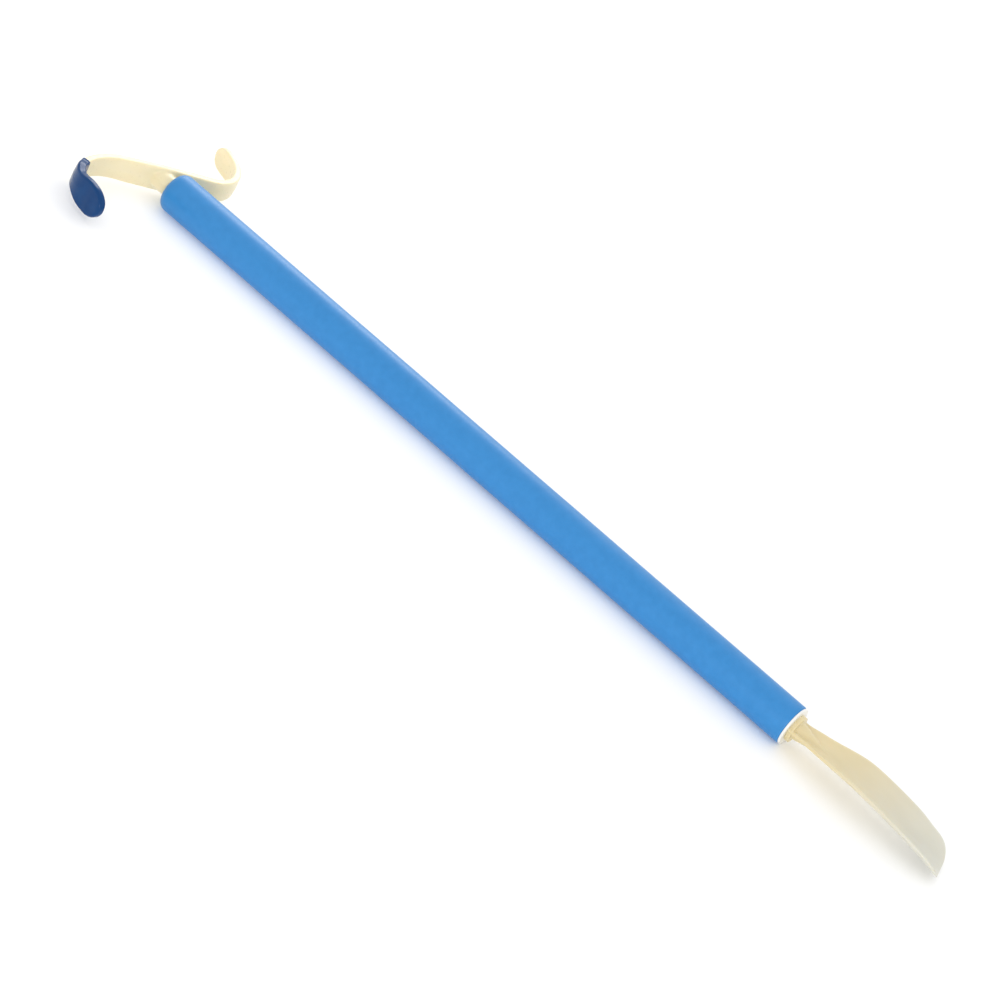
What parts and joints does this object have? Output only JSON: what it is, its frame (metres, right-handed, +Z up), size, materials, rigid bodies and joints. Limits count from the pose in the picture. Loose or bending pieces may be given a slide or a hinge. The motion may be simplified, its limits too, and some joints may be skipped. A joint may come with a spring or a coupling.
{
  "type": "sock aid dressing stick",
  "caption": "Long foam-covered dressing stick with an S-shaped push and pull hook at one end and a shoehorn at the other.",
  "frame": {"origin": "on the surface the stick lies on, under the middle of its bounding box", "axes": "+X along the stick towards the hook head, +Y towards the pull hook with the covered tip, +Z up, the side that the shoehorn's hollow faces"},
  "size_m": [0.8923, 0.1926, 0.035],
  "materials": {
    "foam": "satin closed-cell foam",
    "tube": "mill",
    "hook": "moulded, semi-gloss",
    "dip": "glossy dipped vinyl",
    "horn": "moulded, satin",
    "ring": "moulded",
    "pin": "plain"
  },
  "bodies": {
    "root": {"foam_sleeve": "foam", "core_tube": "tube", "hook_head": "hook", "hook_tip_cover": "dip", "shoehorn": "horn", "end_ring": "ring", "head_pin": "pin", "horn_pin": "pin"}
  },
  "joints": []
}
